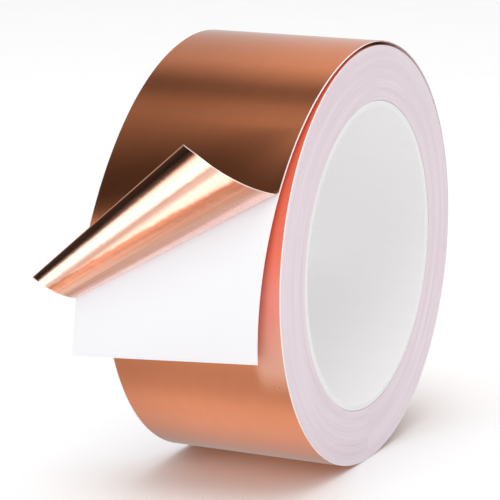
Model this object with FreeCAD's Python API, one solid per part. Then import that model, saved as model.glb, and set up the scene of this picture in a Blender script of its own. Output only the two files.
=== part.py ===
"""Copper foil tape roll: a white core, the wound laminate, a loose outer lap and its peeled end.

Millimetres. The roll's axis is X, the origin is the centre of the core's bore, the loose end hangs
at the front (-Y) and the roll stands on its rim, +Z up. Angles round the roll start at the top and
grow towards the front, which is the way the tape runs to its loose end.
"""
import FreeCAD, Part
import math
import os

from FreeCAD import Vector

# Roll
TAPE_WIDTH = 48.0
FOIL_WIDTH = 47.4  # the liner is a little wider, and shows as a thin white line along the foil
CORE_BORE_RADIUS = 38.1  # standard 3-inch core
CORE_WALL = 2.0
CORE_EDGE_ROUND = 0.5
ROLL_RADIUS = 54.2

# Laminate: release liner inside, adhesive on it, copper foil outside
LINER = 0.08
ADHESIVE = 0.03
FOIL = 0.05
LAYER_GAP = 0.01  # air that keeps neighbouring layers apart as solids
START_STRIP_WIDTH = 40.0  # adhesive strip that fixes the first lap to the core
START_STRIP_ARC = 30.0
START_STRIP = 0.1

# Loose outer lap: a slightly larger circle, touching the pack at the back and open at the front
RUNNING_CLEARANCE = 0.05
LAP_LIFT = 1.0
LIFT_OFF_ANGLE = 45.0
LAP_START_ANGLE = -165.0
LAP_SLANT = 0.083  # how far the front of the lap drifts to -X for each mm below the top

# Tail: the end of the tape from the lift-off line down, freer on its -X edge
TAIL_END_ANGLE = 107.0
TAIL_LIFT_PLUS_X = 2.5
TAIL_LIFT_MINUS_X = 8.5
TAIL_LIFT_POWER = 2.2
HINGE_GAP = 0.1
TAIL_STEPS = 16

# Peeled foil: a tight fold along the peel line, then a wide arch back over the roll, both cones
# with one tip, which lies on the peel line beyond the -X edge
PEEL_SHARE = 0.526  # where the peel line crosses the tail, as a share of its length
TIP_BEYOND_EDGE = 50.5
FOLD_HALF_ANGLE = 0.5
FOLD_TURN = 109.0
ARCH_HALF_ANGLE = 8.46
FREE_EDGE_ANGLE = 14.9  # of the flat foil's free edge from the peel line, seen from the tip
EDGE_FLARE = 1.5  # the foil's +X edge spreads this far out towards its free corner
FLARE_ANGLE = 12.0
FOLD_FLUSH_RIGHT = 0.58  # the tail twists, and the fold starts nearer in line with it at the +X edge
ROOT_TURN = 60.0  # part of the fold that stays with the tail
ROOT_START_TURN = 24.0
FOLD_STEPS = 9
ARCH_STEPS = 16

LAMINATE = LINER + LAYER_GAP + ADHESIVE + LAYER_GAP + FOIL
LAYER_WIDTH = {"liner": TAPE_WIDTH, "adhesive": FOIL_WIDTH, "foil": FOIL_WIDTH}
RIGHT = 1
LEFT = -1
SAME_WAY = 1  # a ruled surface joins its two edges start to start


def rotated(vector, axis, degrees):
    """The vector turned about an axis through the origin."""
    return FreeCAD.Rotation(axis, degrees).multVec(vector)


def steps(first, last, count):
    """Numbers from first to last in count equal steps."""
    return [first + (last - first) * i / count for i in range(count + 1)]


def ring(inner, outer, width=TAPE_WIDTH, y=0.0, z=0.0):
    """A hollow cylinder along X, centred on X = 0."""
    base = Vector(-width / 2, y, z)
    axis = Vector(1, 0, 0)
    solid = Part.makeCylinder(outer, width, base, axis)
    return solid.cut(Part.makeCylinder(inner, width, base, axis))


def layer_radii(inside):
    """Inner and outer radius of liner, adhesive and foil for a lap whose liner starts at inside."""
    adhesive = inside + LINER + LAYER_GAP
    foil = adhesive + ADHESIVE + LAYER_GAP
    return {
        "liner": (inside, inside + LINER),
        "adhesive": (adhesive, adhesive + ADHESIVE),
        "foil": (foil, foil + FOIL),
    }


def core_tube():
    outer = CORE_BORE_RADIUS + CORE_WALL
    tube = ring(CORE_BORE_RADIUS, outer)
    rims = [
        edge
        for edge in tube.Edges
        if isinstance(edge.Curve, Part.Circle) and abs(edge.Curve.Radius - CORE_BORE_RADIUS) < 1e-6
    ]
    return tube.makeFillet(CORE_EDGE_ROUND, rims)


def start_strip(extra=0.0):
    """The adhesive strip between core and first lap, or with extra its pocket in the pack."""
    inner = CORE_BORE_RADIUS + CORE_WALL + LAYER_GAP
    half_arc = START_STRIP_ARC / 2 + extra
    width = START_STRIP_WIDTH + 2 * extra
    shell = ring(inner - extra, inner + START_STRIP + extra, width)
    return shell.common(angular_wedge(-half_arc, half_arc, 2 * inner))


def angular_wedge(start, end, radius):
    """A prism along X that covers the angles from start to end round the roll, under 180 degrees."""
    middle = (start + end) / 2
    far = radius / math.cos(math.radians((end - start) / 2))
    points = [Vector(-TAPE_WIDTH, 0, 0)]
    for angle, reach in ((start, far), (middle, far), (end, far)):
        turn = math.radians(angle)
        points.append(Vector(-TAPE_WIDTH, -reach * math.sin(turn), reach * math.cos(turn)))
    points.append(points[0])
    return Part.Face(Part.makePolygon(points)).extrude(Vector(2 * TAPE_WIDTH, 0, 0))


def wound_tape():
    """All the laps under the top one, pressed into one body by the winding."""
    inner = CORE_BORE_RADIUS + CORE_WALL + LAYER_GAP
    outer = ROLL_RADIUS - LAMINATE - LAYER_GAP
    return ring(inner, outer).cut(start_strip(LAYER_GAP))


def loose_lap_outline(width):
    """The slab that trims the loose lap: flush at the back, slanting towards -X at the front."""
    reach = 2 * ROLL_RADIUS
    half = width / 2
    back = Part.makeBox(width, reach, 2 * reach, Vector(-half, 0, -reach))
    drop = LAP_SLANT * (ROLL_RADIUS + reach)
    top = half - LAP_SLANT * (ROLL_RADIUS - reach)
    corners = [
        Vector(top, 0, reach),
        Vector(top - width, 0, reach),
        Vector(half - drop - width, 0, -reach),
        Vector(half - drop, 0, -reach),
    ]
    front = Part.Face(Part.makePolygon(corners + corners[:1])).extrude(Vector(0, -reach, 0))
    return back, front


def loose_lap(inner, outer, width):
    """One layer of the loose lap, from its hidden start behind the roll to the lift-off line."""
    shift = LAP_LIFT / 2
    turn = math.radians(LIFT_OFF_ANGLE)
    shell = ring(inner + shift, outer + shift, 3 * TAPE_WIDTH, -shift * math.sin(turn), shift * math.cos(turn))
    back, front = loose_lap_outline(width)
    reach = 3 * ROLL_RADIUS
    gap = math.degrees(HINGE_GAP / 2 / ROLL_RADIUS)
    behind = shell.common(back).common(angular_wedge(LAP_START_ANGLE, 0.0, reach))
    ahead = shell.common(front).common(angular_wedge(0.0, LIFT_OFF_ANGLE - gap, reach))
    return behind.fuse(ahead).removeSplitter()


def tail_lift(angle, side):
    """Lift of the tail's edge above the pack, and its change per radian."""
    end_lift = TAIL_LIFT_PLUS_X if side == RIGHT else TAIL_LIFT_MINUS_X
    span = TAIL_END_ANGLE - LIFT_OFF_ANGLE
    share = max(0.0, (angle - LIFT_OFF_ANGLE) / span)
    rise = end_lift - LAP_LIFT
    slope = rise * TAIL_LIFT_POWER * share ** (TAIL_LIFT_POWER - 1) / math.radians(span)
    return LAP_LIFT + rise * share**TAIL_LIFT_POWER, slope


def tail_point(share, side, height, width=FOIL_WIDTH):
    """A point on the tail's edge, height above the liner's inner face.

    share runs from 0 at the lift-off line to 1 at the end of the tape. The two edges run at
    different speeds, so that the lines across the tail slant, and one of them is the peel line.
    """
    run = share**2 if side == RIGHT else 1 - (1 - share) ** 2
    start = LIFT_OFF_ANGLE + math.degrees(HINGE_GAP / 2 / ROLL_RADIUS)
    angle = start + (TAIL_END_ANGLE - start) * run
    lift, slope = tail_lift(angle, side)
    radius = ROLL_RADIUS + RUNNING_CLEARANCE + lift
    turn = math.radians(angle)
    outward = Vector(0, -math.sin(turn), math.cos(turn))
    onward = Vector(0, -math.cos(turn), -math.sin(turn))
    normal = (outward * radius - onward * slope).normalize()
    point = outward * radius + normal * height
    point.x = side * width / 2 - LAP_SLANT * (ROLL_RADIUS - point.z)
    return point


def spline(points, places):
    curve = Part.BSplineCurve()
    curve.interpolate(Points=points, Parameters=places)
    return curve.toShape()


def curved_sheet(left_low, left_high, right_low, right_high, places):
    """A thin solid between four edge curves, straight across from edge to edge.

    places holds one increasing number per point, the same for all four curves.
    """
    around = (left_low, left_high, right_high, right_low)
    curves = [spline(points, places) for points in around]
    faces = [Part.makeRuledSurface(curves[i], curves[(i + 1) % 4], SAME_WAY) for i in range(4)]
    for end in (0, -1):
        bottom = Part.makeLine(left_low[end], right_low[end])
        top = Part.makeLine(left_high[end], right_high[end])
        faces.append(Part.makeRuledSurface(bottom, top, SAME_WAY))
    shell = Part.Shell(faces)
    shell.sewShape()
    solid = Part.Solid(shell)
    if solid.Volume < 0:
        solid.reverse()
    return solid


def tail_layer(low, high, width, end_share):
    """One layer of the tail, from the lift-off line to end_share of its length."""
    shares = steps(0.0, end_share, TAIL_STEPS)
    curves = []
    for side in (LEFT, RIGHT):
        for height in (low, high):
            curves.append([tail_point(share, side, height, width) for share in shares])
    return curved_sheet(*curves, shares)


def peel_frame():
    """Tip, direction, normal and length of the peel line."""
    height = LINER + LAYER_GAP + ADHESIVE + LAYER_GAP
    right = tail_point(PEEL_SHARE, RIGHT, height)
    left = tail_point(PEEL_SHARE, LEFT, height)
    line = (right - left).normalize()
    onward = Vector(0, 0, 0)
    for side, weight in ((LEFT, 1 - FOLD_FLUSH_RIGHT), (RIGHT, FOLD_FLUSH_RIGHT)):
        step = tail_point(PEEL_SHARE + 0.01, side, height) - tail_point(PEEL_SHARE - 0.01, side, height)
        onward += step.normalize() * weight
    normal = onward.cross(line)
    normal = (normal - line * normal.dot(line)).normalize()
    if normal.y > 0:
        normal = normal * -1
    tip = left - line * TIP_BEYOND_EDGE
    return tip, line, normal, (right - left).Length


def peel_direction(angle, frame):
    """Unit direction from the tip, and normal, where the flat foil's angle from the peel line is angle."""
    tip, line, normal, length = frame
    half = math.radians(FOLD_HALF_ANGLE)
    axis = line * math.cos(half) + normal * math.sin(half)
    fold_end = FOLD_TURN * math.sin(half)
    turn = -min(angle, fold_end) / math.sin(half)
    direction = rotated(line, axis, turn)
    inward = rotated(normal, axis, turn)
    if angle > fold_end:
        half = math.radians(ARCH_HALF_ANGLE)
        axis = direction * math.cos(half) + inward * math.sin(half)
        turn = -(angle - fold_end) / math.sin(half)
        direction = rotated(direction, axis, turn)
        inward = rotated(inward, axis, turn)
    return direction, inward


def peeled_point(angle, side, height, frame):
    """A point on the peeled foil's edge, at the flat foil's angle from the peel line."""
    tip, line, normal, length = frame
    across = FOIL_WIDTH / length  # cosine of the slope of the peel line across the tape
    reach = TIP_BEYOND_EDGE * across
    if side == RIGHT:
        reach += FOIL_WIDTH + EDGE_FLARE * min(1.0, angle / FLARE_ANGLE)
    slope = math.degrees(math.acos(across)) - angle
    distance = reach / math.cos(math.radians(slope))
    direction, inward = peel_direction(angle, frame)
    return tip + direction * distance + inward * height


def peeled_layer(low, high, angles, frame):
    """One layer of the peeled foil through the given angles from the peel line."""
    curves = []
    for side in (LEFT, RIGHT):
        for height in (low, high):
            curves.append([peeled_point(angle, side, height, frame) for angle in angles])
    return curved_sheet(*curves, angles)


def hinge_points(frame, per_turn):
    """Ends of the line that the peeled foil turns about: in the fold, half way through the foil."""
    angle = ROOT_TURN * per_turn + hinge_gap_angle() / 2
    return [peeled_point(angle, side, FOIL / 2, frame) for side in (LEFT, RIGHT)]


def hinge_gap_angle():
    """The hinge gap at the foil's -X edge, as an angle seen from the tip."""
    return math.degrees(HINGE_GAP / TIP_BEYOND_EDGE)


def pack_nodes():
    """Everything that stays in place on the core."""
    nodes = {
        "core_tube": core_tube(),
        "core_start_strip": start_strip(),
        "wound_tape": wound_tape(),
    }
    for name, (inner, outer) in layer_radii(ROLL_RADIUS - LAMINATE).items():
        nodes["top_lap_" + name] = ring(inner, outer, LAYER_WIDTH[name])
    return nodes


def loose_nodes():
    """The loose lap, the tail that hangs from it and the foil peeled back from the tail's liner."""
    nodes = {}
    for name, (inner, outer) in layer_radii(ROLL_RADIUS + RUNNING_CLEARANCE).items():
        nodes["loose_lap_" + name] = loose_lap(inner, outer, LAYER_WIDTH[name])

    heights = layer_radii(0.0)
    nodes["tail_liner"] = tail_layer(*heights["liner"], TAPE_WIDTH, 1.0)
    frame = peel_frame()
    per_turn = math.sin(math.radians(FOLD_HALF_ANGLE))
    root = steps(ROOT_START_TURN * per_turn, ROOT_TURN * per_turn, FOLD_STEPS)
    fold = steps(root[-1] + hinge_gap_angle(), FOLD_TURN * per_turn, FOLD_STEPS)
    arch = steps(fold[-1], FREE_EDGE_ANGLE, ARCH_STEPS)
    sides = {"foil": (0.0, FOIL), "adhesive": (-LAYER_GAP - ADHESIVE, -LAYER_GAP)}
    for name, (low, high) in sides.items():
        stuck = tail_layer(*heights[name], FOIL_WIDTH, PEEL_SHARE)
        nodes["tail_" + name] = Part.makeCompound([stuck, peeled_layer(low, high, root, frame)])
        bent = peeled_layer(low, high, fold, frame)
        nodes["peeled_" + name] = bent.fuse(peeled_layer(low, high, arch, frame))
    for point in hinge_points(frame, per_turn):
        print("peel hinge", [round(value, 4) for value in point])
    return nodes


def main():
    os.makedirs("parts", exist_ok=True)
    for name, shape in {**pack_nodes(), **loose_nodes()}.items():
        shape.exportStep(f"parts/{name}.step")
        box = shape.BoundBox
        print(
            f"{name:20s} {len(shape.Solids)} solid(s) valid={shape.isValid()} {shape.Volume:10.2f} mm3 "
            f"x {box.XMin:.1f}..{box.XMax:.1f} y {box.YMin:.1f}..{box.YMax:.1f} z {box.ZMin:.1f}..{box.ZMax:.1f}"
        )


if __name__ == "__main__":
    main()
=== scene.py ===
"""Copper foil tape roll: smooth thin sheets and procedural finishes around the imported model.

Shapes are worked out in millimetres with the sizes of the CAD source, and meshes are in metres. The
roll's axis is X, +Z is up, and the loose end of the tape hangs on the -Y side. Angles round the
roll start at the top and grow towards the front, which is the way the tape runs to its loose end.
"""
import math

import bpy
import numpy as np
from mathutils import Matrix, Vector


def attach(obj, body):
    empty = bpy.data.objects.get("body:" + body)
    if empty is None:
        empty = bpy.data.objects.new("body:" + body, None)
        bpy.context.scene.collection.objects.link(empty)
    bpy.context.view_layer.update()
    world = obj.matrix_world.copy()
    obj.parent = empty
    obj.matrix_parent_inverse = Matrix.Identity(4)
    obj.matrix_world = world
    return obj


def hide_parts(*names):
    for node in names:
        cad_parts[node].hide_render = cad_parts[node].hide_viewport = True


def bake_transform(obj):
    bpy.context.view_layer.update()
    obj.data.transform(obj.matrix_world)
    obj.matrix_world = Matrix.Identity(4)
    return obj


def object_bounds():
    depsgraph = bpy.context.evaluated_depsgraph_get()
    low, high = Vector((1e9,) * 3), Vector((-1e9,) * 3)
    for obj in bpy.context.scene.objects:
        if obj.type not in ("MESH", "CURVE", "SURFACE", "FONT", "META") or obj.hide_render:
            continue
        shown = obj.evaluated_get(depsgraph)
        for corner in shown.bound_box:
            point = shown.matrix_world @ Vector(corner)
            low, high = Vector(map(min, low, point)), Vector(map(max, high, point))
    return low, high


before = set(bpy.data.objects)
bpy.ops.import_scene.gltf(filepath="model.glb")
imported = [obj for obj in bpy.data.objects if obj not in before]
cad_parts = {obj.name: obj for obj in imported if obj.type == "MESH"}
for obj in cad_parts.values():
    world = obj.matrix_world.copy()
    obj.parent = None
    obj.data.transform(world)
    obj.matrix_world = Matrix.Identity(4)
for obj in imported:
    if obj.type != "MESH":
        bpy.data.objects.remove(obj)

CAD_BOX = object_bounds()
MM = 0.001

# Sizes in millimetres, angles in degrees. The roll and the laminate
TAPE_WIDTH = 48.0
FOIL_WIDTH = 47.4
CORE_BORE_RADIUS = 38.1
CORE_WALL = 2.0
ROLL_RADIUS = 54.2
LINER = 0.08
ADHESIVE = 0.03
FOIL = 0.05
LAYER_GAP = 0.01
CORE_EDGE_ROUND = 0.45

# The two edges of the tape, at +X and at -X
RIGHT = 1
LEFT = -1

# The loose lap and the tail
RUNNING_CLEARANCE = 0.05
LAP_LIFT = 1.0  # of the lap off the pack, where the tail begins
LIFT_OFF_ANGLE = 45.0
LAP_START_ANGLE = -165.0
LAP_SLANT = 0.083  # how far the front of the lap drifts to -X for each mm below the top
TAIL_END_ANGLE = 107.0
END_LIFT = {RIGHT: 2.5, LEFT: 8.5}
TAIL_LIFT_POWER = 2.2

# The peeled foil: a tight fold along the peel line, then a wide arch
PEEL_SHARE = 0.526  # where the peel line crosses the tail, as a share of its length
TIP_BEYOND_EDGE = 50.5
FOLD_HALF_ANGLE = 0.5
FOLD_TURN = 109.0
ARCH_HALF_ANGLE = 8.46
FREE_EDGE_ANGLE = 14.9  # of the flat foil's free edge from the peel line, seen from the tip
EDGE_FLARE = 1.5  # the foil's +X edge spreads this far out towards its free corner
FLARE_ANGLE = 12.0
FOLD_FLUSH_RIGHT = 0.58  # the tail twists, and the fold starts nearer in line with it at the +X edge
DIRECTION_STEP = 0.01  # half of the tail's share that its direction at the peel line is taken over

# Heights of each layer's faces over the liner's inner face, and over the peeled foil's sticky face
LAMINATE = LINER + ADHESIVE + FOIL + 2 * LAYER_GAP
LINER_HEIGHTS = (0.0, LINER)
ADHESIVE_HEIGHTS = (LINER + LAYER_GAP, LINER + LAYER_GAP + ADHESIVE)
FOIL_HEIGHTS = (LAMINATE - FOIL, LAMINATE)
PEELED_FOIL_HEIGHTS = (0.0, FOIL)
PEELED_ADHESIVE_HEIGHTS = (-LAYER_GAP - ADHESIVE, -LAYER_GAP)

# Fineness of the meshes: segments round the roll, columns across the tape and rows along it
SEGMENTS = 384
PACK_SEGMENTS = 192
CORE_SEGMENTS = 256
COLUMNS = 32
RING_COLUMNS = 12
START_ROWS = 4
LAP_ROWS = 150
NEAR_ROWS = 12
NEAR_ARC = 5.0  # the finer rows before the lift-off line
TAIL_ROWS = 90
FOLD_ROWS = 28
ARCH_ROWS = 90
SHARP_EDGE = 40.0  # edges that turn by more than this angle are shaded as edges

# Camera
CAMERA_AZIMUTH = 25.72
CAMERA_ELEVATION = 12.42
CAMERA_DISTANCE = 701.9
CAMERA_AIM_RIGHT = -9.12
CAMERA_AIM_UP = -0.67
SENSOR_WIDTH = 36.0
LENS = 194.1


# ---------------------------------------------------------------- camera, light and floor


def direction(azimuth, elevation):
    """Unit vector, with azimuth from the front (-Y) towards +X, in degrees."""
    a = math.radians(azimuth)
    e = math.radians(elevation)
    return (math.sin(a) * math.cos(e), -math.cos(a) * math.cos(e), math.sin(e))


def add_camera():
    """A long lens, a little above the roll and to its +X side."""
    azimuth = math.radians(CAMERA_AZIMUTH)
    elevation = math.radians(CAMERA_ELEVATION)
    right = np.array([math.cos(azimuth), math.sin(azimuth), 0.0])
    back = np.array(direction(CAMERA_AZIMUTH, CAMERA_ELEVATION))
    up = np.cross(back, right)
    target = right * CAMERA_AIM_RIGHT * MM + up * CAMERA_AIM_UP * MM
    data = bpy.data.cameras.new("camera")
    data.sensor_width = SENSOR_WIDTH
    data.lens = LENS
    camera = bpy.data.objects.new("camera", data)
    bpy.context.collection.objects.link(camera)
    camera.location = target + back * CAMERA_DISTANCE * MM
    camera.rotation_euler = (math.pi / 2 - elevation, 0.0, azimuth)
    bpy.context.scene.camera = camera


class Nodes:
    """Short calls for building a node tree."""

    def __init__(self, tree):
        self.tree = tree
        tree.nodes.clear()

    def add(self, kind, inputs=(), **settings):
        node = self.tree.nodes.new(kind)
        for name, value in settings.items():
            setattr(node, name, value)
        for name, value in dict(inputs).items():
            self.put(node.inputs[name], value)
        return node

    def put(self, socket, value):
        if isinstance(value, bpy.types.NodeSocket):
            self.tree.links.new(value, socket)
        else:
            socket.default_value = value

    def math(self, operation, *values):
        node = self.add("ShaderNodeMath", operation=operation)
        for socket, value in zip(node.inputs, values):
            self.put(socket, value)
        return node.outputs[0]

    def smooth(self, value, low, high, start=0.0, end=1.0):
        """Runs from start to end as value goes from low to high, eased at both ends."""
        inputs = {"Value": value, "From Min": low, "From Max": high, "To Min": start, "To Max": end}
        node = self.add("ShaderNodeMapRange", inputs, interpolation_type="SMOOTHSTEP")
        return node.outputs[0]

    def noise(self, vector, scale, detail=2.0, roughness=0.5):
        inputs = {"Vector": vector, "Scale": scale, "Detail": detail, "Roughness": roughness}
        return self.add("ShaderNodeTexNoise", inputs).outputs["Fac"]

    def ramp(self, value, stops, interpolation="EASE"):
        """A colour ramp through (place, colour) stops."""
        node = self.add("ShaderNodeValToRGB")
        ramp = node.color_ramp
        ramp.interpolation = interpolation
        while len(ramp.elements) < len(stops):
            ramp.elements.new(0.5)
        for element, (place, colour) in zip(ramp.elements, stops):
            element.position = place
            element.color = (*colour, 1.0)
        self.put(node.inputs["Fac"], value)
        return node.outputs["Color"]

    def bands(self, value, levels):
        """Grey by value, through (value, level) pairs in rising order."""
        first = levels[0][0]
        span = levels[-1][0] - first
        place = self.math("DIVIDE", self.math("SUBTRACT", value, first), span)
        stops = [((at - first) / span, (level, level, level)) for at, level in levels]
        return self.ramp(place, stops, "LINEAR")

    def mix(self, factor, first, second):
        """Colour from first to second as factor goes from 0 to 1."""
        node = self.add("ShaderNodeMix", data_type="RGBA")
        self.put(node.inputs[0], factor)
        for socket, colour in ((node.inputs[6], first), (node.inputs[7], second)):
            self.put(socket, colour if isinstance(colour, bpy.types.NodeSocket) else (*colour, 1.0))
        return node.outputs[2]

    def choose(self, factor, first, second):
        """Number from first to second as factor goes from 0 to 1."""
        return self.add("ShaderNodeMix", {0: factor, 2: first, 3: second}, data_type="FLOAT").outputs[0]

    def scaled(self, colour, factor):
        inputs = {"Vector": colour, "Scale": factor}
        return self.add("ShaderNodeVectorMath", inputs, operation="SCALE").outputs[0]

    def weighted(self, first, first_weight, second, second_weight=1.0):
        """Weighted sum of two numbers."""
        first = self.math("MULTIPLY", first, first_weight)
        return self.math("ADD", first, self.math("MULTIPLY", second, second_weight))

    def vector(self, x, y, z=0.0):
        node = self.add("ShaderNodeCombineXYZ")
        for socket, value in zip(node.inputs, (x, y, z)):
            self.put(socket, value)
        return node.outputs[0]

    def stretched(self, x, x_scale, y, y_scale, z=0.0):
        """A place scaled differently in x and y, for noise that is drawn out one way."""
        return self.vector(self.math("MULTIPLY", x, x_scale), self.math("MULTIPLY", y, y_scale), z)

    def split(self, vector):
        node = self.add("ShaderNodeSeparateXYZ")
        self.put(node.inputs[0], vector)
        return node.outputs


# Brightness of the studio as the copper reflects it, by angle over the roll: 0 is the front
# horizon, 90 overhead and 180 the back horizon
STUDIO_BANDS = (
    (-180, 0.75), (0, 0.8), (20, 0.3), (38, 0.09), (50, 0.125), (60, 0.235), (70, 0.38),
    (82, 0.54), (91, 0.48), (99, 0.27), (106, 0.265), (115, 0.56), (126, 0.86), (180, 0.90),
)
# Round panels in the reflections: azimuth, elevation, the angles from the centre at which they are
# full and gone, and strength
SHADE_PANEL = (-76, 25, 16, 28, 0.78)
SIDE_PANEL = (-28, 4, 17, 25, 2.6)
FAR_PANEL = (60, 30, 20, 40, 0.8)
ROOM_LEVEL = 1.05  # the even light that everything but the reflections gets


def studio_world():
    """Even white light, with soft bands and panels that only the reflections show."""
    world = bpy.data.worlds.new("studio")
    bpy.context.scene.world = world
    world.use_nodes = True
    n = Nodes(world.node_tree)
    toward = n.add("ShaderNodeTexCoord").outputs["Generated"]
    _, y, z = n.split(toward)
    over = n.math("MULTIPLY", n.math("ARCTAN2", z, n.math("MULTIPLY", y, -1.0)), 180 / math.pi)
    bands = n.bands(over, STUDIO_BANDS)

    def panel(azimuth, elevation, inner, outer, level):
        """The strength of one round panel in each direction."""
        dot = n.add("ShaderNodeVectorMath", operation="DOT_PRODUCT")
        n.put(dot.inputs[0], toward)
        n.put(dot.inputs[1], direction(azimuth, elevation))
        gone = math.cos(math.radians(outer))
        full = math.cos(math.radians(inner))
        return n.smooth(dot.outputs["Value"], gone, full, 0.0, level)

    shade = n.math("SUBTRACT", 1.0, panel(*SHADE_PANEL))
    panels = n.math("ADD", panel(*SIDE_PANEL), panel(*FAR_PANEL))
    seen = n.math("ADD", n.math("MULTIPLY", bands, shade), panels)
    glossy = n.add("ShaderNodeLightPath").outputs["Is Glossy Ray"]
    light = n.add("ShaderNodeBackground", {"Strength": n.choose(glossy, ROOM_LEVEL, seen)})
    output = n.add("ShaderNodeOutputWorld")
    n.put(output.inputs["Surface"], light.outputs[0])


# The soft light nearly overhead, in degrees, metres and watts
LIGHT_AZIMUTH = 20.0
LIGHT_ELEVATION = 82.0
LIGHT_DISTANCE = 1.5
LIGHT_SIZE = 1.4
LIGHT_POWER = 9.0


def add_soft_light():
    """A wide round light that gives the soft shadow, out of sight of the reflections."""
    data = bpy.data.lights.new("overhead", "AREA")
    data.shape = "DISK"
    data.size = LIGHT_SIZE
    data.energy = LIGHT_POWER
    light = bpy.data.objects.new("overhead", data)
    bpy.context.collection.objects.link(light)
    light.location = np.array(direction(LIGHT_AZIMUTH, LIGHT_ELEVATION)) * LIGHT_DISTANCE
    light.rotation_euler = (math.radians(90 - LIGHT_ELEVATION), 0.0, math.radians(LIGHT_AZIMUTH))
    light.visible_glossy = False


# Brightness of the floor in reflections, by its Y in metres: white card in front of the roll, lit
# further out, in shadow under it
FLOOR_BANDS = (
    (-0.60, 1.2), (-0.30, 2.2), (-0.18, 2.0), (-0.145, 1.05), (-0.105, 0.84), (-0.067, 0.55),
    (-0.055, 0.60), (-0.044, 0.80), (-0.034, 0.78), (-0.026, 0.62), (-0.018, 0.48), (0.0, 0.35),
)
FLOOR_HALF = 6.0
# Beyond the roll's -X side the bands give way to one level, between these two X
BESIDE_START = -0.08
BESIDE_END = -0.03
BESIDE_LEVEL = 0.84


def add_floor():
    """A plain pale floor under the roll. Reflections see it in soft bands."""
    low = CAD_BOX[0][2]
    corners = [(x * FLOOR_HALF, y * FLOOR_HALF, low) for x, y in ((-1, -1), (1, -1), (1, 1), (-1, 1))]
    mesh = bpy.data.meshes.new("floor")
    mesh.from_pydata(corners, [], [(0, 1, 2, 3)])
    floor = bpy.data.objects.new("floor", mesh)
    bpy.context.collection.objects.link(floor)
    material, n = new_material("floor_card")
    where = n.add("ShaderNodeTexCoord").outputs["Object"]
    x, y, _ = n.split(where)
    beside = n.smooth(x, BESIDE_START, BESIDE_END)
    bands = n.mix(beside, (BESIDE_LEVEL,) * 3, n.bands(y, FLOOR_BANDS))
    card = n.mix(n.noise(where, 40.0), (0.95, 0.95, 0.95), (0.98, 0.98, 0.98))
    glossy = n.add("ShaderNodeLightPath").outputs["Is Glossy Ray"]
    surface(
        n,
        **{
            "Base Color": n.mix(glossy, card, (0.0, 0.0, 0.0)),
            "Roughness": 0.7,
            "Specular IOR Level": 0.1,
            "Emission Color": bands,
            "Emission Strength": glossy,
        },
    )
    mesh.materials.append(material)


# ---------------------------------------------------------------- shapes


def unit(vector):
    return vector / np.linalg.norm(vector)


def turned(vector, axis, radians):
    """The vector turned about an axis through the origin."""
    along = axis * axis.dot(vector)
    return along + (vector - along) * math.cos(radians) + np.cross(axis, vector) * math.sin(radians)


def around(angle):
    """Directions out from the roll's axis and onward along the tape, at an angle from the top."""
    turn = math.radians(angle)
    outward = np.array([0.0, -math.sin(turn), math.cos(turn)])
    onward = np.array([0.0, -math.cos(turn), -math.sin(turn)])
    return outward, onward


def slanted(point, side, width):
    """The point moved along X to the tape's edge, which drifts to -X below the top of the roll."""
    drop = max(0.0, ROLL_RADIUS - point[2]) if point[1] < 0 else 0.0
    point[0] = side * width / 2 - LAP_SLANT * drop
    return point


def lap_point(angle, side, height, width):
    """A point on the loose lap's edge, height above the liner's inner face."""
    shift = LAP_LIFT / 2
    centre = around(LIFT_OFF_ANGLE)[0] * shift
    radius = ROLL_RADIUS + RUNNING_CLEARANCE + shift + height
    return slanted(centre + around(angle)[0] * radius, side, width)


def tail_point(share, side, height, width):
    """A point on the tail's edge, where share runs from 0 at the lift-off line to 1 at the end."""
    run = share**2 if side == RIGHT else 1 - (1 - share) ** 2
    span = TAIL_END_ANGLE - LIFT_OFF_ANGLE
    outward, onward = around(LIFT_OFF_ANGLE + span * run)
    rise = END_LIFT[side] - LAP_LIFT
    slope = rise * TAIL_LIFT_POWER * run ** (TAIL_LIFT_POWER - 1) / math.radians(span)
    radius = ROLL_RADIUS + RUNNING_CLEARANCE + LAP_LIFT + rise * run**TAIL_LIFT_POWER
    normal = unit(outward * radius - onward * slope)
    return slanted(outward * radius + normal * height, side, width)


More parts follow.
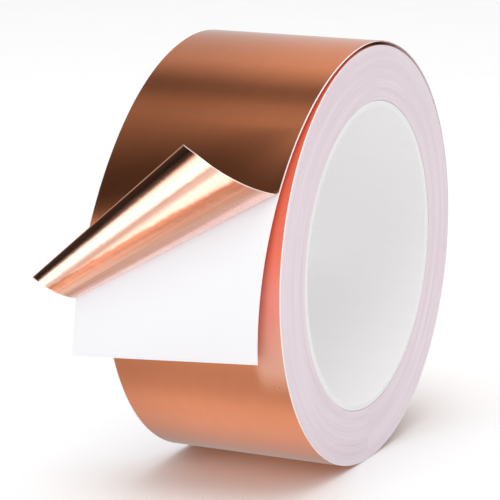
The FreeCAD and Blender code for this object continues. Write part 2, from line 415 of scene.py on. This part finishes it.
class Peel:
    """The peeled foil: two cones with one tip, which lies on the peel line beyond the -X edge."""

    def __init__(self):
        height = FOIL_HEIGHTS[0]
        self.right = tail_point(PEEL_SHARE, RIGHT, height, FOIL_WIDTH)
        self.left = tail_point(PEEL_SHARE, LEFT, height, FOIL_WIDTH)
        self.line = unit(self.right - self.left)
        onward = np.zeros(3)
        for side, weight in ((LEFT, 1 - FOLD_FLUSH_RIGHT), (RIGHT, FOLD_FLUSH_RIGHT)):
            after = tail_point(PEEL_SHARE + DIRECTION_STEP, side, height, FOIL_WIDTH)
            before = tail_point(PEEL_SHARE - DIRECTION_STEP, side, height, FOIL_WIDTH)
            onward = onward + unit(after - before) * weight
        normal = np.cross(onward, self.line)
        self.normal = unit(normal - self.line * normal.dot(self.line))
        if self.normal[1] > 0:
            self.normal = -self.normal
        self.tip = self.left - self.line * TIP_BEYOND_EDGE
        across = FOIL_WIDTH / np.linalg.norm(self.right - self.left)
        self.slope = math.acos(across)
        # How far the tape's edges are from the tip, straight across the tape
        self.reach = {LEFT: TIP_BEYOND_EDGE * across, RIGHT: TIP_BEYOND_EDGE * across + FOIL_WIDTH}
        self.last = math.radians(FREE_EDGE_ANGLE)
        self.fold_end = math.radians(FOLD_TURN) * math.sin(math.radians(FOLD_HALF_ANGLE))

    def direction(self, angle):
        """Direction from the tip, and the way to the cone's inside, at the flat foil's angle."""
        half = math.radians(FOLD_HALF_ANGLE)
        axis = self.line * math.cos(half) + self.normal * math.sin(half)
        turn = -min(angle, self.fold_end) / math.sin(half)
        ray = turned(self.line, axis, turn)
        inward = turned(self.normal, axis, turn)
        if angle > self.fold_end:
            half = math.radians(ARCH_HALF_ANGLE)
            axis = ray * math.cos(half) + inward * math.sin(half)
            turn = -(angle - self.fold_end) / math.sin(half)
            ray = turned(ray, axis, turn)
            inward = turned(inward, axis, turn)
        return ray, inward

    def point(self, angle, side, height):
        """A point on the foil's edge, height above the foil's sticky face."""
        ray, inward = self.direction(angle)
        reach = self.reach[side]
        if side == RIGHT:
            reach += EDGE_FLARE * min(1.0, math.degrees(angle) / FLARE_ANGLE)
        distance = reach / math.cos(self.slope - angle)
        return self.tip + ray * distance + inward * height


def link_mesh(name, points, faces, uv, material):
    """A smooth-shaded mesh object from points in millimetres, with one UV per face corner."""
    mesh = bpy.data.meshes.new(name)
    mesh.from_pydata((np.asarray(points) * MM).tolist(), [], faces)
    layer = mesh.uv_layers.new(name="tape")
    layer.data.foreach_set("uv", np.asarray(uv, float).ravel())
    mesh.materials.append(material)
    mesh.shade_smooth()
    mesh.set_sharp_from_angle(angle=math.radians(SHARP_EDGE))
    piece = bpy.data.objects.new(name, mesh)
    bpy.context.collection.objects.link(piece)
    return piece


def sheet(name, low, high, along, width, material):
    """A closed thin solid between two grids of points: rows along the tape, columns across it.

    UVs are millimetres along the tape and across it from its centre line.
    """
    rows, columns = low.shape[:2]
    points = np.concatenate([low.reshape(-1, 3), high.reshape(-1, 3)])
    top = rows * columns
    across = np.linspace(-width / 2, width / 2, columns)
    faces = []
    uv = []

    def face(*corners):
        """Adds a face from (row, column, first point of the grid) corners."""
        faces.append([base + row * columns + column for row, column, base in corners])
        uv.extend((along[row], across[column]) for row, column, base in corners)

    for i in range(rows - 1):
        for j in range(columns - 1):
            face((i, j, top), (i + 1, j, top), (i + 1, j + 1, top), (i, j + 1, top))
            face((i, j, 0), (i, j + 1, 0), (i + 1, j + 1, 0), (i + 1, j, 0))
    last = columns - 1
    for i in range(rows - 1):
        face((i, 0, 0), (i + 1, 0, 0), (i + 1, 0, top), (i, 0, top))
        face((i, last, top), (i + 1, last, top), (i + 1, last, 0), (i, last, 0))
    end = rows - 1
    for j in range(columns - 1):
        face((0, j, top), (0, j + 1, top), (0, j + 1, 0), (0, j, 0))
        face((end, j, 0), (end, j + 1, 0), (end, j + 1, top), (end, j, top))
    return link_mesh(name, points, faces, uv, material)


def lathe(name, profile, segments, material):
    """A closed profile of (x, radius) turned about the roll's axis: outside first, towards +X.

    UVs are millimetres round the roll's rim and along the profile, from the middle of its first side.
    """
    profile = np.asarray(profile)
    count = len(profile)
    turns = np.linspace(0, 2 * math.pi, segments, endpoint=False)
    x = np.broadcast_to(profile[:, 0], (segments, count))
    y = -np.sin(turns)[:, None] * profile[:, 1]
    z = np.cos(turns)[:, None] * profile[:, 1]
    points = np.stack([x, y, z], -1).reshape(-1, 3)
    steps = np.linalg.norm(np.diff(np.vstack([profile, profile[:1]]), axis=0), axis=1)
    run = np.concatenate([[0.0], np.cumsum(steps)]) - steps[0] / 2
    pitch = 2 * math.pi * ROLL_RADIUS / segments
    faces = []
    uv = []
    for i in range(segments):
        for k in range(count):
            corners = ((i, k), (i + 1, k), (i + 1, k + 1), (i, k + 1))
            faces.append([a % segments * count + b % count for a, b in corners])
            uv.extend((a * pitch, run[b]) for a, b in corners)
    return link_mesh(name, points, faces, uv, material)


def rounded_ring(inner, outer, width, radius, steps=4):
    """Profile of a tube whose four corners are rounded."""
    half = width / 2
    corners = ((1, outer, 90), (1, inner, 0), (-1, inner, -90), (-1, outer, -180))
    profile = []
    for side, edge, start in corners:
        inside = -1 if edge == outer else 1
        for k in range(steps + 1):
            turn = math.radians(start - 90 * k / steps)
            x = side * (half - radius) + radius * math.cos(turn)
            profile.append((x, edge + inside * radius + radius * math.sin(turn)))
    return profile


LAP_THICKNESS = LINER + ADHESIVE + FOIL
EDGE_DEPTH = 0.035  # how far the copper edges sit back between the liner edges in the wound sides
LAP_WANDER = 0.007  # how unevenly one lap lies beside the next
WANDER_IN = 0.04  # the furthest that a lap wanders in and out from its mean place
WANDER_OUT = 0.03
WANDER_SEED = 7


def wound_profile():
    """Profile of the wound tape, with a ridge for each lap on both sides."""
    inner = CORE_BORE_RADIUS + CORE_WALL + LAYER_GAP
    outer = ROLL_RADIUS - LAMINATE - LAYER_GAP
    laps = round((outer - inner) / LAP_THICKNESS)
    random = np.random.default_rng(WANDER_SEED)
    wander = np.cumsum(random.normal(0, LAP_WANDER, laps))
    wander -= np.linspace(wander[0], wander[-1], laps)
    wander = np.clip(wander, -WANDER_IN, WANDER_OUT) - WANDER_OUT
    radii = np.linspace(inner, outer, 2 * laps + 1)
    sides = {}
    for side, offsets in ((1, wander), (-1, wander[::-1])):
        face = []
        for k, radius in enumerate(radii):
            lap = min(k // 2, laps - 1)
            depth = EDGE_DEPTH if k % 2 else 0.0
            face.append((side * (TAPE_WIDTH / 2 + offsets[lap] - depth), radius))
        sides[side] = face
    return sides[1][::-1] + sides[-1]


RIPPLE = 0.05
TUCK_ARC = 30.0  # the hidden start of the lap settles onto the pack over this arc
TUCK_GAP = 0.012
TUCKED_SHARE = 0.15  # how much of the layers' own height is left at the very start


def ripple(along, across):
    """Slight unevenness of a hand-wound lap, always outwards: three crossing waves."""
    wave = (
        math.sin(along / 7.9 + 0.6 * math.sin(across / 9.0))
        + 0.7 * math.sin(along / 4.3 + across / 11.0 + 1.7)
        + 0.6 * math.sin(across / 6.1 - along / 15.0 + 0.4)
    )
    highest = 1 + 0.7 + 0.6
    return RIPPLE * (1 + wave / highest) / 2


def tucked(point, height, settled):
    """The point drawn in onto the pack, fully where settled is 0 and not at all where it is 1."""
    share = settled * settled * (3 - 2 * settled)
    radius = math.hypot(point[1], point[2])
    lowest = ROLL_RADIUS + TUCK_GAP + height * (TUCKED_SHARE + (1 - TUCKED_SHARE) * share)
    wanted = lowest + (radius - lowest) * share
    return np.array([point[0], *(point[1:] * wanted / radius)])


def lap_rows(extra_start):
    """Angles of the loose lap's rows, closer together at the lift-off line.

    They start extra_start before the lap's own start, for a layer that covers the others' ends.
    """
    start = np.linspace(LAP_START_ANGLE - extra_start, LAP_START_ANGLE, START_ROWS, endpoint=False)
    far = np.linspace(LAP_START_ANGLE, LIFT_OFF_ANGLE - NEAR_ARC, LAP_ROWS, endpoint=False)
    near = np.linspace(LIFT_OFF_ANGLE - NEAR_ARC, LIFT_OFF_ANGLE, NEAR_ROWS, endpoint=False)
    return np.concatenate([start, far, near])


def across_tape(edges):
    """Rows of points across the tape, from pairs of edge points."""
    edges = np.array(edges)
    across = np.linspace(0, 1, COLUMNS + 1)[None, :, None]
    return edges[:, :1] * (1 - across) + edges[:, 1:] * across


def run_along(grid):
    """Millimetres along the tape's centre line, for each row from the first."""
    middle = grid[:, COLUMNS // 2]
    steps = np.linalg.norm(np.diff(middle, axis=0), axis=1)
    return np.concatenate([[0.0], np.cumsum(steps)])


def loose_grid(heights, width, end_share, extra_start):
    """Both faces of one layer, from the hidden start of the loose lap to end_share of the tail."""
    angles = lap_rows(extra_start)
    shares = np.linspace(0.0, end_share, TAIL_ROWS)
    faces = []
    for height in heights:
        lap = [[lap_point(angle, side, height, width) for side in (LEFT, RIGHT)] for angle in angles]
        tail = [[tail_point(share, side, height, width) for side in (LEFT, RIGHT)] for share in shares]
        faces.append(across_tape(lap + tail))
    along = run_along(faces[0])
    along = along - along[len(angles)]
    for i, distance in enumerate(along):
        settled = (angles[i] - angles[0]) / TUCK_ARC if i < len(angles) else 1.0
        for j in range(COLUMNS + 1):
            rise = ripple(distance, (j / COLUMNS - 0.5) * width)
            for face, height in zip(faces, heights):
                outward = unit(face[i, j] * (0.0, 1.0, 1.0))
                point = face[i, j] + outward * rise
                face[i, j] = tucked(point, height, settled) if settled < 1 else point
    return faces[0], faces[1], along


def peeled_angles(peel):
    """The flat foil's angles from the peel line for the rows of the peeled foil."""
    fold = np.linspace(0, peel.fold_end, FOLD_ROWS, endpoint=False)
    return np.concatenate([fold, np.linspace(peel.fold_end, peel.last, ARCH_ROWS)])


def peeled_grid(peel, heights):
    """Both faces of one layer of the peeled foil, from the peel line to the end of the tape."""
    angles = peeled_angles(peel)
    faces = []
    for height in heights:
        edges = [[peel.point(angle, side, height) for side in (LEFT, RIGHT)] for angle in angles]
        faces.append(across_tape(edges))
    return faces[0], faces[1], run_along(faces[0])


def add_turning(piece, peel, rows):
    """A second UV layer on the peeled foil: how far round the arch each row is.

    It runs from 0 at the end of the fold to 1 at the free edge, and is below 0 in the fold.
    """
    mesh = piece.data
    layer = mesh.uv_layers.new(name="turning")
    count = (COLUMNS + 1) * rows
    corners = np.zeros(len(mesh.loops), int)
    mesh.loops.foreach_get("vertex_index", corners)
    row = (corners % count) // (COLUMNS + 1)
    angles = peeled_angles(peel)
    share = (angles[row] - peel.fold_end) / (peel.last - peel.fold_end)
    layer.data.foreach_set("uv", np.stack([share, np.zeros(len(row))], -1).ravel())


# ---------------------------------------------------------------- finishes


def surface(n, bump=None, bump_distance=0.0, **inputs):
    """Ends a material's tree in a Principled surface."""
    shader = n.add("ShaderNodeBsdfPrincipled")
    for name, value in inputs.items():
        n.put(shader.inputs[name], (*value, 1.0) if isinstance(value, tuple) else value)
    if bump is not None:
        node = n.add("ShaderNodeBump", {"Height": bump, "Distance": bump_distance, "Strength": 1.0})
        n.put(shader.inputs["Normal"], node.outputs[0])
    output = n.add("ShaderNodeOutputMaterial")
    n.put(output.inputs["Surface"], shader.outputs[0])


def new_material(name):
    material = bpy.data.materials.new(name)
    material.use_nodes = True
    return material, Nodes(material.node_tree)


def tape_place(n):
    """Millimetres along the tape and across it, from the mesh's UVs."""
    along, across, _ = n.split(n.add("ShaderNodeUVMap", uv_map="tape").outputs[0])
    return along, across


# The strip of painted reflection and shade on the last lap, by its place on the roll in metres: its edge
# towards the loose end lies between the two X, its upper end between the two Y and its foot between the
# two Z, and its colours run between the last two Z. Its matt red stands in for warm light that the open
# copper reflects there.
PAINTED_REFLECTION_X = (0.0145, 0.0185)
PAINTED_REFLECTION_Y = (-0.012, -0.002)
PAINTED_REFLECTION_Z = (-0.027, -0.017)
PAINTED_REFLECTION_COLOUR_Z = (-0.028, 0.045)
PAINTED_REFLECTION_COLOURS = (
    (0.0, (0.84, 0.45, 0.32)),
    (0.3, (0.93, 0.29, 0.22)),
    (0.6, (0.95, 0.18, 0.10)),
    (1.0, (0.90, 0.14, 0.065)),
)


def copper_material(name, colour, roughness, painted_reflection_strip=False):
    """Rolled copper foil: fine lines along the tape, soft mottling and a faint waviness.

    Painted shade and light: the tape is darkened towards its -X edge and brightened a little towards its
    +X edge, as the reflections fall across it. When asked for, the edge strip that lies open beside the
    loose lap gets painted reflection and shade: matt and redder, more so towards the top.
    """
    material, n = new_material(name)
    along, across = tape_place(n)
    lines = n.noise(n.stretched(along, 0.05, across, 9.0), 1.0, 3.0)
    mottle = n.noise(n.stretched(along, 0.12, across, 0.3), 1.0, 3.0, 0.6)
    dark = tuple(0.9 * c for c in colour)
    light = tuple(min(1.0, 1.06 * c) for c in colour)
    tone = n.mix(n.weighted(lines, 0.4, mottle, 0.6), dark, light)
    # Painted shade and light: darker towards -X and brighter towards +X, as the reflections fall across
    # the tape
    tone = n.scaled(tone, n.smooth(across, -22.0, 22.0, 0.78, 1.1))
    rough = n.smooth(lines, 0.3, 0.7, roughness * 0.85, roughness * 1.15)
    metal = 1.0
    # Painted reflection and shade: the open edge strip beside the loose lap is made matt and redder,
    # more so towards the top, standing in for warm reflected light
    if painted_reflection_strip:
        x, y, z = n.split(n.add("ShaderNodeTexCoord").outputs["Object"])
        ahead = n.smooth(y, *PAINTED_REFLECTION_Y, 1.0, 0.0)
        strip = n.math("MULTIPLY", n.math("MULTIPLY", n.smooth(x, *PAINTED_REFLECTION_X), n.smooth(z, *PAINTED_REFLECTION_Z)), ahead)
        red = n.ramp(n.smooth(z, *PAINTED_REFLECTION_COLOUR_Z), PAINTED_REFLECTION_COLOURS)
        painted_reflection_lines = n.mix(lines, red, n.mix(0.25, red, (0.5, 0.08, 0.04)))
        tone = n.mix(strip, tone, painted_reflection_lines)
        metal = n.math("SUBTRACT", 1.0, n.math("MULTIPLY", strip, 0.85))
        rough = n.math("ADD", rough, n.math("MULTIPLY", strip, 0.35))
    bump = n.weighted(lines, 0.25, mottle)
    surface(n, bump, 0.00002, **{"Base Color": tone, "Metallic": metal, "Roughness": rough})
    return material


def liner_material():
    """White release paper: faint cool fibres under a slight silicone sheen."""
    material, n = new_material("release_liner")
    where = n.vector(*tape_place(n))
    fibres = n.noise(where, 6.0, 4.0, 0.65)
    clouds = n.noise(where, 0.12, 2.0)
    tone = n.mix(n.weighted(fibres, 0.5, clouds, 0.5), (0.925, 0.92, 0.955), (0.965, 0.96, 0.985))
    rough = n.smooth(fibres, 0.3, 0.7, 0.42, 0.52)
    surface(n, fibres, 0.00001, **{"Base Color": tone, "Roughness": rough, "Specular IOR Level": 0.3})
    return material


def adhesive_material():
    """The thin cut edge and hidden film of acrylic adhesive: clear, with a warm tint of the foil."""
    material, n = new_material("adhesive_film")
    cloud = n.noise(n.vector(*tape_place(n)), 0.8, 3.0)
    tone = n.mix(cloud, (0.74, 0.52, 0.42), (0.84, 0.62, 0.50))
    rough = n.smooth(cloud, 0.3, 0.7, 0.18, 0.3)
    surface(n, cloud, 0.00001, **{"Base Color": tone, "Roughness": rough})
    return material


WOUND_COLOURS = (
    (0.25, (0.70, 0.57, 0.60)),
    (0.45, (0.78, 0.68, 0.73)),
    (0.6, (0.82, 0.73, 0.78)),
    (0.8, (0.86, 0.79, 0.84)),
)


def wound_material():
    """The wound sides: stacked paper edges with a trace of copper between them."""
    material, n = new_material("wound_edges")
    _, y, z = n.split(n.add("ShaderNodeTexCoord").outputs["Object"])
    radius = n.math("SQRT", n.math("ADD", n.math("MULTIPLY", y, y), n.math("MULTIPLY", z, z)))
    angle = n.math("ARCTAN2", y, z)
    fine = n.noise(n.stretched(radius, 3200.0, angle, 1.2), 1.0, 2.0)
    wide = n.noise(n.stretched(radius, 420.0, angle, 0.8, 5.0), 1.0, 2.0)
    specks = n.noise(n.vector(y, z), 900.0, 3.0, 0.6)
    tone = n.ramp(n.weighted(fine, 0.5, wide, 0.5), WOUND_COLOURS)
    tone = n.mix(n.smooth(specks, 0.55, 0.8, 0.0, 0.35), tone, (0.74, 0.60, 0.60))
    rough = n.smooth(fine, 0.3, 0.7, 0.5, 0.65)
    bump = n.weighted(specks, 0.4, fine)
    surface(n, bump, 0.00002, **{"Base Color": tone, "Roughness": rough, "Specular IOR Level": 0.3})
    return material


def core_material():
    """Moulded white plastic, slightly warm, with fine draw lines along the bore."""
    material, n = new_material("core_plastic")
    x, y, z = n.split(n.add("ShaderNodeTexCoord").outputs["Object"])
    lines = n.noise(n.stretched(n.math("ARCTAN2", y, z), 60.0, x, 20.0), 1.0, 3.0)
    grain = n.noise(n.vector(x, y, z), 1500.0, 3.0)
    wear = n.weighted(lines, 0.6, grain, 0.4)
    tone = n.mix(wear, (0.84, 0.83, 0.83), (0.91, 0.90, 0.90))
    rough = n.smooth(grain, 0.3, 0.7, 0.34, 0.46)
    surface(n, wear, 0.00003, **{"Base Color": tone, "Roughness": rough, "Specular IOR Level": 0.4})
    return material


# Painted reflections on the sticky side: its colours by how far round the arch they are, in pale, warm
# and dark bands that stand in for what the curved foil reflects; and the widths in millimetres of the
# painted glint, a pale line along its side edges
PAINTED_ARCH_REFLECTIONS = (
    (0.0, (0.95, 0.55, 0.48)),
    (0.08, (0.90, 0.46, 0.34)),
    (0.2, (0.96, 0.52, 0.38)),
    (0.30, (0.86, 0.38, 0.24)),
    (0.38, (0.60, 0.21, 0.11)),
    (0.42, (0.54, 0.18, 0.09)),
    (0.48, (0.88, 0.50, 0.38)),
    (0.7, (0.90, 0.52, 0.40)),
    (1.0, (0.86, 0.36, 0.21)),
)
EDGE_GLINT = 0.35
EDGE_GLINT_FULL = 0.15


def peeled_material():
    """The foil's sticky side: copper under clear glossy adhesive, paler along its cut edges.

    Painted reflections and glints: the colours in bands round the arch, the pale lines along its cut
    side edges and the warm line at its free edge are painted in. The adhesive is streaked along the
    lines that the foil was bent about, and next to the peel line a white cloud is painted in as the
    reflection of the liner.
    """
    material, n = new_material("sticky_copper")
    along, across = tape_place(n)
    turning = n.split(n.add("ShaderNodeUVMap", uv_map="turning").outputs[0])[0]
    lines = n.noise(n.stretched(along, 0.06, across, 3.0), 1.0, 3.0)
    mottle = n.noise(n.stretched(along, 0.2, across, 0.4), 1.0, 3.0, 0.6)
    streaks = n.noise(n.stretched(turning, 11.0, across, 0.018), 1.0, 4.0, 0.62)
    wander = n.math("MULTIPLY", n.math("SUBTRACT", mottle, 0.5), 0.06)
    # Painted reflections: the colour bands run round the arch, slanted a little across the tape and
    # wandering with the mottling
    where = n.weighted(across, 0.0037, n.math("ADD", turning, wander))
    tone = n.scaled(n.ramp(where, PAINTED_ARCH_REFLECTIONS), n.smooth(streaks, 0.3, 0.7, 0.88, 1.14))
    # Painted reflection of the white liner next to the peel line, softly clouded, where the foil faces
    # down towards the liner
    clouds = n.smooth(mottle, 0.2, 0.75, 0.7, 1.0)
    liner_reflection = n.math("MULTIPLY", n.smooth(turning, 0.02, 0.17, 0.9, 0.0), clouds)
    tone = n.mix(liner_reflection, tone, (0.98, 0.70, 0.65))
    half = FOIL_WIDTH / 2
    # Painted glint: a pale line along both side edges of the foil, as if their cut edges caught the
    # light
    edge = n.smooth(n.math("ABSOLUTE", across), half - EDGE_GLINT, half - EDGE_GLINT_FULL)
    tone = n.mix(edge, tone, (0.93, 0.80, 0.72))
    # Painted glint: a warm copper line along the free edge, standing in for the light its cut edge
    # catches
    cut = n.smooth(turning, 0.975, 0.99)
    tone = n.mix(cut, tone, (0.62, 0.30, 0.19))
    # The painted glints and the painted liner reflection take away most of the metal, so they show in
    # their painted colours
    edges = n.math("MULTIPLY", n.math("MAXIMUM", edge, cut), 0.7)
    painted_marks = n.math("MAXIMUM", edges, n.math("MULTIPLY", liner_reflection, 0.8))
    surface(
        n,
        n.weighted(lines, 0.3, mottle),
        0.00003,
        **{
            "Base Color": tone,
            "Metallic": n.math("SUBTRACT", 1.0, painted_marks),
            "Roughness": n.smooth(streaks, 0.3, 0.7, 0.13, 0.22),
            "Coat Weight": 0.5,
            "Coat Roughness": 0.06,
        },
    )
    return material


# ---------------------------------------------------------------- pieces


FOIL_OVERLAP = 3.0  # degrees by which the foil covers the hidden ends of the layers under it


def stand_for(piece, slot, *nodes):
    """Hides the CAD nodes that the piece stands for. The piece and the slot are not used."""
    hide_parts(*nodes)


def build_core_and_pack(materials):
    """The core and the wound tape. The strip between them keeps its CAD shape and gets its look."""
    profile = rounded_ring(CORE_BORE_RADIUS, CORE_BORE_RADIUS + CORE_WALL, TAPE_WIDTH, CORE_EDGE_ROUND)
    core = lathe("core", profile, CORE_SEGMENTS, materials["core"])
    stand_for(core, "core_plastic", "core_tube")
    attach(core, "roll")
    pack = lathe("wound_pack", wound_profile(), PACK_SEGMENTS, materials["wound"])
    stand_for(pack, "wound_side", "wound_tape")
    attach(pack, "roll")
    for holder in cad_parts["core_start_strip"].material_slots:
        holder.material = materials["adhesive"]


def build_last_lap(materials):
    """The three layers of the last tight lap."""
    layers = (
        ("liner", LINER_HEIGHTS, TAPE_WIDTH, "liner", "liner_paper"),
        ("adhesive", ADHESIVE_HEIGHTS, FOIL_WIDTH, "adhesive", "adhesive"),
        ("foil", FOIL_HEIGHTS, FOIL_WIDTH, "pack_copper", "copper_foil"),
    )
    base = ROLL_RADIUS - LAMINATE
    for name, (low, high), width, material, slot in layers:
        half = width / 2
        profile = [(x, base + high) for x in np.linspace(-half, half, RING_COLUMNS + 1)]
        profile += [(half, base + low), (-half, base + low)]
        ring = lathe("last_lap_" + name, profile, SEGMENTS, materials[material])
        stand_for(ring, slot, "top_lap_" + name)
        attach(ring, "roll")


def build_loose_end(materials):
    """The loose lap with the tail, layer by layer, bending at the lift-off line."""
    layers = (
        ("liner", LINER_HEIGHTS, TAPE_WIDTH, 1.0, 0.0, "liner", "liner_paper"),
        ("adhesive", ADHESIVE_HEIGHTS, FOIL_WIDTH, PEEL_SHARE, 0.0, "adhesive", "adhesive"),
        ("foil", FOIL_HEIGHTS, FOIL_WIDTH, PEEL_SHARE, FOIL_OVERLAP, "copper", "copper_foil"),
    )
    for name, heights, width, share, extra, material, slot in layers:
        low, high, along = loose_grid(heights, width, share, extra)
        piece = sheet("loose_end_" + name, low, high, along, width, materials[material])
        stand_for(piece, slot, "loose_lap_" + name, "tail_" + name)
        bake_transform(piece)


def build_peeled_end(materials):
    """The foil and its adhesive, peeled back from the tail and bending in the fold."""
    peel = Peel()
    onward = np.cross(peel.line, peel.normal)
    if onward[2] > 0:
        onward = -onward
    layers = (
        ("foil", PEELED_FOIL_HEIGHTS, "copper", "copper_foil"),
        ("adhesive", PEELED_ADHESIVE_HEIGHTS, "peeled", "adhesive"),
    )
    for name, heights, material, slot in layers:
        low, high, along = peeled_grid(peel, heights)
        piece = sheet("peeled_end_" + name, low, high, along, FOIL_WIDTH, materials[material])
        add_turning(piece, peel, len(along))
        stand_for(piece, slot, "peeled_" + name)
        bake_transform(piece)


COPPER = (0.88, 0.30, 0.135)
PACK_COPPER = (0.88, 0.31, 0.155)


def main():
    add_camera()
    studio_world()
    add_floor()
    add_soft_light()
    bpy.context.scene.view_settings.view_transform = "Standard"
    materials = {
        "core": core_material(),
        "wound": wound_material(),
        "liner": liner_material(),
        "adhesive": adhesive_material(),
        "copper": copper_material("copper_foil", COPPER, 0.15),
        # The last lap's copper carries the painted reflection strip beside the loose lap
        "pack_copper": copper_material("pack_copper_foil", PACK_COPPER, 0.17, painted_reflection_strip=True),
        "peeled": peeled_material(),
    }
    build_core_and_pack(materials)
    build_last_lap(materials)
    build_loose_end(materials)
    build_peeled_end(materials)


main()
